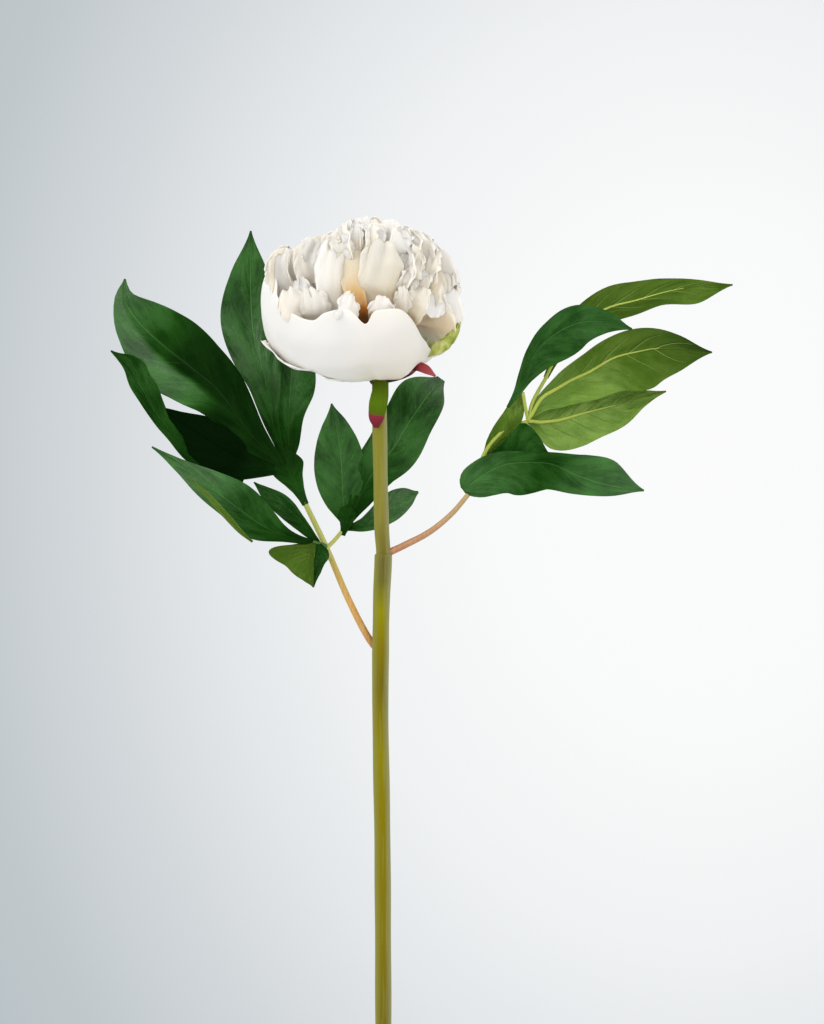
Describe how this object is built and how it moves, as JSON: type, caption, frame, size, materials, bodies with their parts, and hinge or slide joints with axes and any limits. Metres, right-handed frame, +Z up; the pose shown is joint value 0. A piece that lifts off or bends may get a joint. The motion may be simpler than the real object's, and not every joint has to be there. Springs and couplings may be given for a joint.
{
  "type": "peony in a bud vase",
  "caption": "Cut double peony with two compound leaves on its stem, standing in the water of a slim-necked bud vase that rests on its flat foot.",
  "frame": {"origin": "centre of the vase's flat foot, on the surface it stands on", "axes": "+Z up along the vase's axis, -Y towards the viewer of the picture, +X to the viewer's right"},
  "size_m": [0.3368, 0.1077, 0.6592],
  "materials": {
    "glazed_stoneware": "satin warm-white glaze over buff stoneware, unglazed foot",
    "water": "clear water, still surface",
    "green_stem": "satin olive-green skin with brownish bands",
    "yellow_leaf_stalk": "satin yellow-green skin, tan near the stem",
    "tan_leaf_stalk": "satin tan skin",
    "green_leaf": "satin dark green above, paler dull green with raised ribs below",
    "sepal": "dull olive green and crimson",
    "white_petal": "soft white, peach in the hollows, finely ribbed lengthwise"
  },
  "bodies": {
    "root": {"vase": "glazed_stoneware", "water": "water", "stem": "green_stem", "left_petiole": "yellow_leaf_stalk", "left_leaf_upper": "green_leaf", "left_leaf_lower": "green_leaf", "left_leaf_inner": "green_leaf", "right_petiole": "tan_leaf_stalk", "right_leaf": "green_leaf", "calyx": "sepal", "bloom": "white_petal"}
  },
  "joints": []
}
